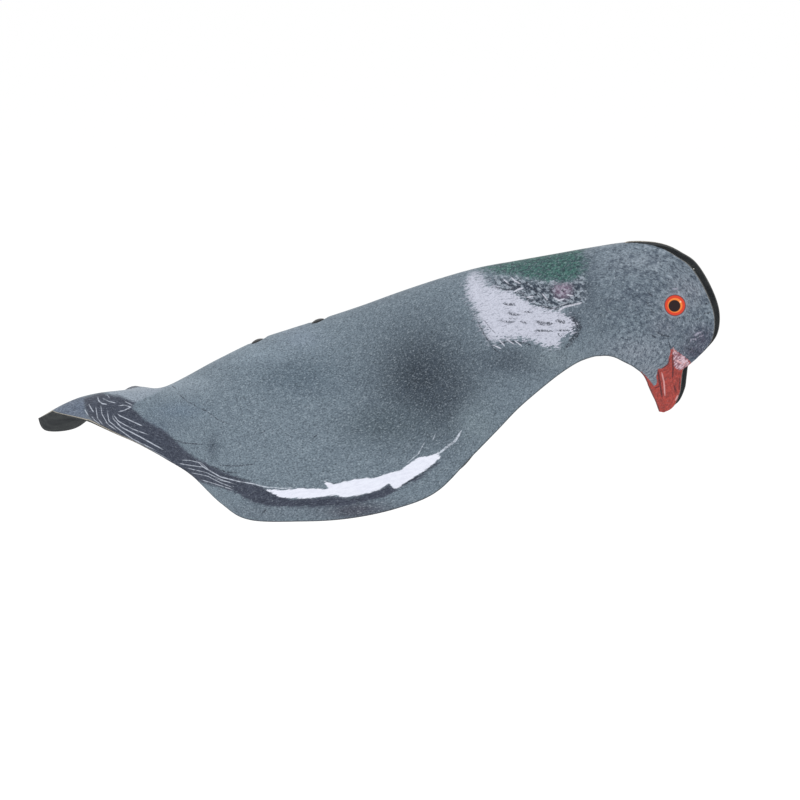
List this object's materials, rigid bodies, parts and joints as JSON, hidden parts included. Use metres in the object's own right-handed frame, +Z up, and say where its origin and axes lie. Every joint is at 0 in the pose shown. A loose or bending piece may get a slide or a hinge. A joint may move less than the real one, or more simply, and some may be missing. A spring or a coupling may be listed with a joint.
{
  "type": "shell bird decoy",
  "caption": "Open foam shell in the shape of a feeding wood pigeon, with flexing flanks, on a nodding and swivelling stake socket.",
  "frame": {"origin": "mouth of the stake hole, on the hole's axis", "axes": "+X towards the beak, +Z up along the stake, the bird's right side at -Y"},
  "size_m": [0.3909, 0.0996, 0.1553],
  "materials": {
    "printed_face": "matte",
    "foam": "matte",
    "black_plastic": "satin",
    "steel": "satin",
    "nylon_thread": "satin"
  },
  "bodies": {
    "socket": {"stake_socket": "black_plastic", "swivel_washer": "steel", "spigot_clip": "steel"},
    "yoke": {"nod_yoke": "black_plastic", "pivot_pin": "steel", "pin_clips": "steel"},
    "shell": {"foam_shell": "foam", "printed_face": "printed_face", "ridge_rail": "black_plastic", "push_rivets": "black_plastic", "rivet_caps": "black_plastic", "crown_tie": "nylon_thread", "brow_tie": "nylon_thread"},
    "right_flank": {"right_flank_foam": "foam", "right_flank_face": "printed_face"},
    "left_flank": {"left_flank_foam": "foam", "left_flank_face": "printed_face"}
  },
  "joints": [
    {"name": "swivel", "type": "hinge", "parent": "socket", "child": "yoke", "pos_m": [0, 0, 0.06], "axis": [0, 0, 1], "continuous": true},
    {"name": "nod", "type": "hinge", "parent": "yoke", "child": "shell", "pos_m": [0, 0, 0.07575], "axis": [0, 1, 0], "range_deg": [-15, 15]},
    {"name": "right_flank_flex", "type": "hinge", "parent": "shell", "child": "right_flank", "pos_m": [-0.0351, -0.0243, 0.0568], "axis": [-0.9438, 0, -0.3305], "range_deg": [-8, 14], "stiffness_Nm_per_rad": 0.4},
    {"name": "left_flank_flex", "type": "hinge", "parent": "shell", "child": "left_flank", "pos_m": [-0.0351, 0.0243, 0.0568], "axis": [0.9438, 0, 0.3305], "range_deg": [-8, 14], "stiffness_Nm_per_rad": 0.4}
  ]
}
